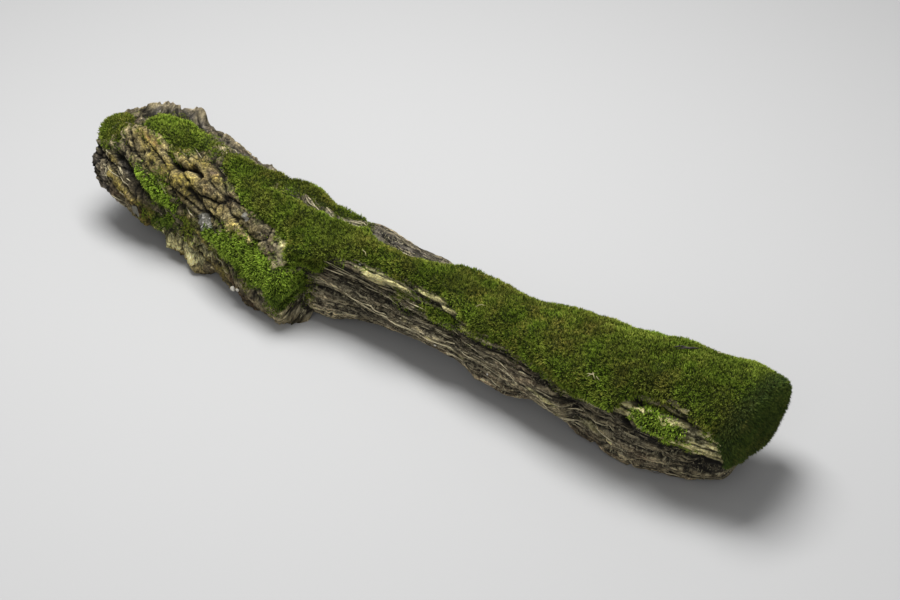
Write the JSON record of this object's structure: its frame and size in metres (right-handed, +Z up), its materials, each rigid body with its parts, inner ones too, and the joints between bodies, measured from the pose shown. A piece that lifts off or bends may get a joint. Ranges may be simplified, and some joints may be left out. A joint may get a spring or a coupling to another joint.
{
  "type": "mossy log",
  "caption": "Fallen log with a rough, furrowed butt, a broken limb stub and a thick carpet of moss over its top and one end; it lies on the ground.",
  "frame": {"origin": "on the ground, under the middle of the log's box", "axes": "+X along the log from its rough butt to its mossy tip, -Y its near side with the limb stub, +Z up"},
  "size_m": [1.5772, 0.3248, 0.2457],
  "materials": {
    "bark": "rough",
    "moss": "soft"
  },
  "bodies": {
    "root": {"log": "bark", "moss_butt_clump": "moss", "moss_butt_end": "moss", "moss_carpet": "moss", "moss_furrow_strip": "moss", "moss_limb_pad": "moss", "moss_lower_strip": "moss", "moss_shelf": "moss", "moss_side_patch": "moss"}
  },
  "joints": []
}
